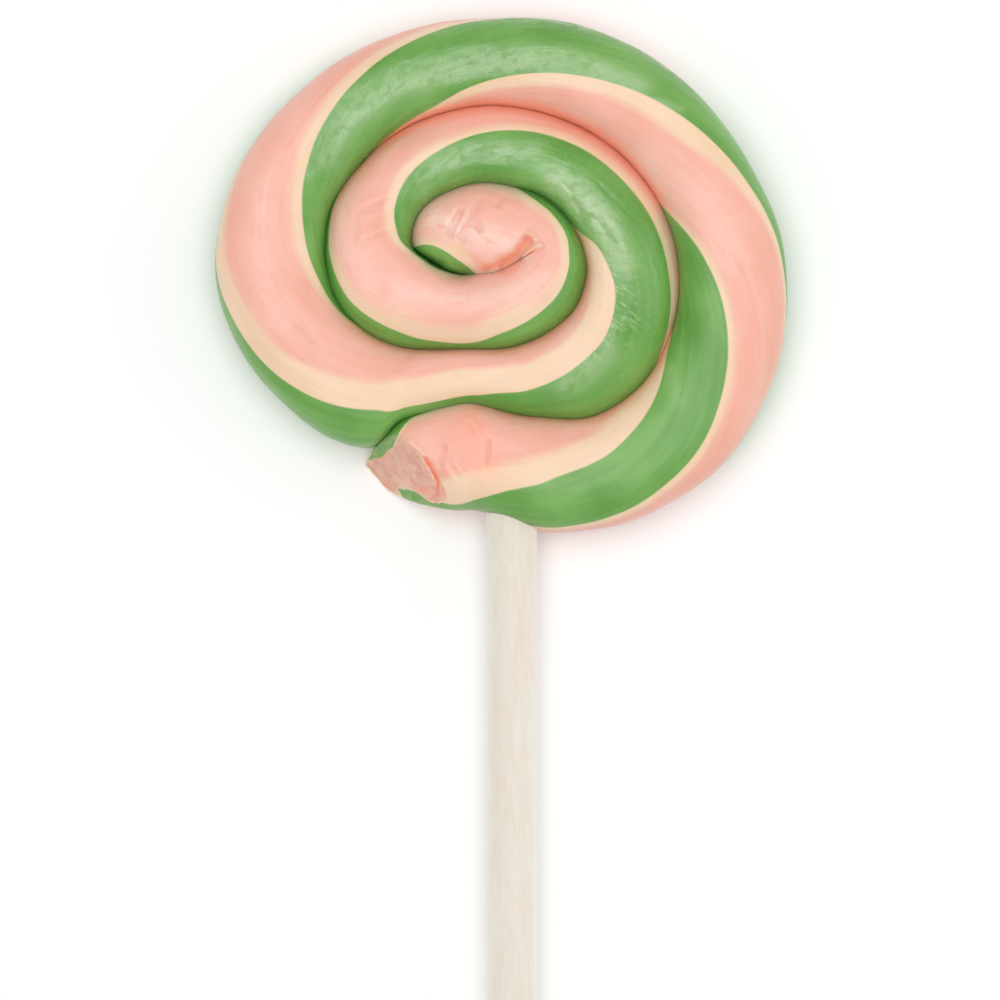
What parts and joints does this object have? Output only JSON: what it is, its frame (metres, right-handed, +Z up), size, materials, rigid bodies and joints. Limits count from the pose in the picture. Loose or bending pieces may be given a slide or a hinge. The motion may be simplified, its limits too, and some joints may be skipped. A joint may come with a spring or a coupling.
{
  "type": "swirl lollipop",
  "caption": "Twisted rope of pink, cream and green pulled sugar, coiled flat into a round swirl on a paper stick.",
  "frame": {"origin": "on the flat underside, on the stick's axis line and below the coil's first turn", "axes": "+Z up through the face that shows, -Y along the stick away from the coil, +X to the right seen from above"},
  "size_m": [0.0702, 0.2015, 0.0124],
  "materials": {
    "sugar_pink": "satin gloss, faintly translucent hard pulled sugar, fine pulled streaks",
    "sugar_cream": "satin gloss, faintly translucent hard pulled sugar",
    "sugar_green": "satin gloss, faintly translucent hard pulled sugar, fine pulled streaks",
    "stick_paper": "matt rolled paper with fine fibres"
  },
  "bodies": {
    "root": {"candy_core_pink": "sugar_pink", "candy_lining_cream_a": "sugar_cream", "candy_strip_green_a": "sugar_green", "candy_lining_cream_b": "sugar_cream", "candy_strip_green_b": "sugar_green", "stick": "stick_paper"}
  },
  "joints": []
}
